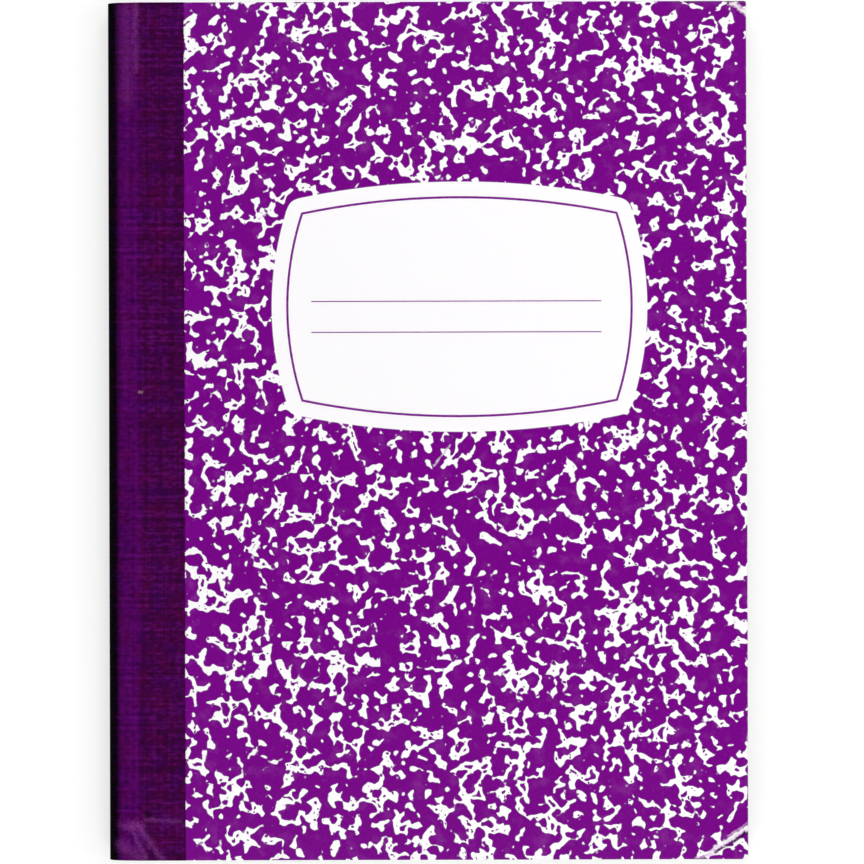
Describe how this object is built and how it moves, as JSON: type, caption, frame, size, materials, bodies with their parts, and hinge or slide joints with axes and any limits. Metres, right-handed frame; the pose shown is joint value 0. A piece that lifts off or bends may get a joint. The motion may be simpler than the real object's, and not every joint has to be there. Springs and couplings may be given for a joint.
{
  "type": "composition notebook",
  "caption": "Sewn composition notebook with marbled board covers, a cloth tape over a rounded spine, a blank white label field and hinged covers.",
  "frame": {"origin": "under the middle of the book, on the plane that it rests on with its back cover down", "axes": "+X across the covers from the spine to the fore edge, +Y along the spine to the head, +Z from the back cover to the front cover"},
  "size_m": [0.184, 0.247, 0.0115],
  "materials": {
    "cover_board": "smooth white paper face on pressed board",
    "cover_ink": "purple printing ink, satin",
    "label_border_ink": "purple printing ink, satin",
    "label_line_ink": "pale purple printing ink",
    "writing_paper": "uncoated writing paper, cut edges",
    "sewing_thread": "spun polyester sewing thread",
    "spine_cloth": "dark purple coated book cloth, fine weave"
  },
  "bodies": {
    "back": {"back_board": "cover_board", "back_print": "cover_ink"},
    "pages": {"page_block": "writing_paper", "sewing_thread": "sewing_thread", "spine_tape": "spine_cloth"},
    "front": {"front_board": "cover_board", "front_print": "cover_ink", "label_border": "label_border_ink", "label_lines": "label_line_ink"}
  },
  "joints": [
    {"name": "back_cover_hinge", "type": "hinge", "parent": "pages", "child": "back", "pos_m": [-0.0826, 0, 0], "axis": [0, 1, 0], "range_deg": [0, 183], "deforming": ["spine_tape"]},
    {"name": "front_cover_hinge", "type": "hinge", "parent": "pages", "child": "front", "pos_m": [-0.0826, 0, 0.0114], "axis": [0, -1, 0], "range_deg": [0, 180], "deforming": ["spine_tape"]}
  ]
}
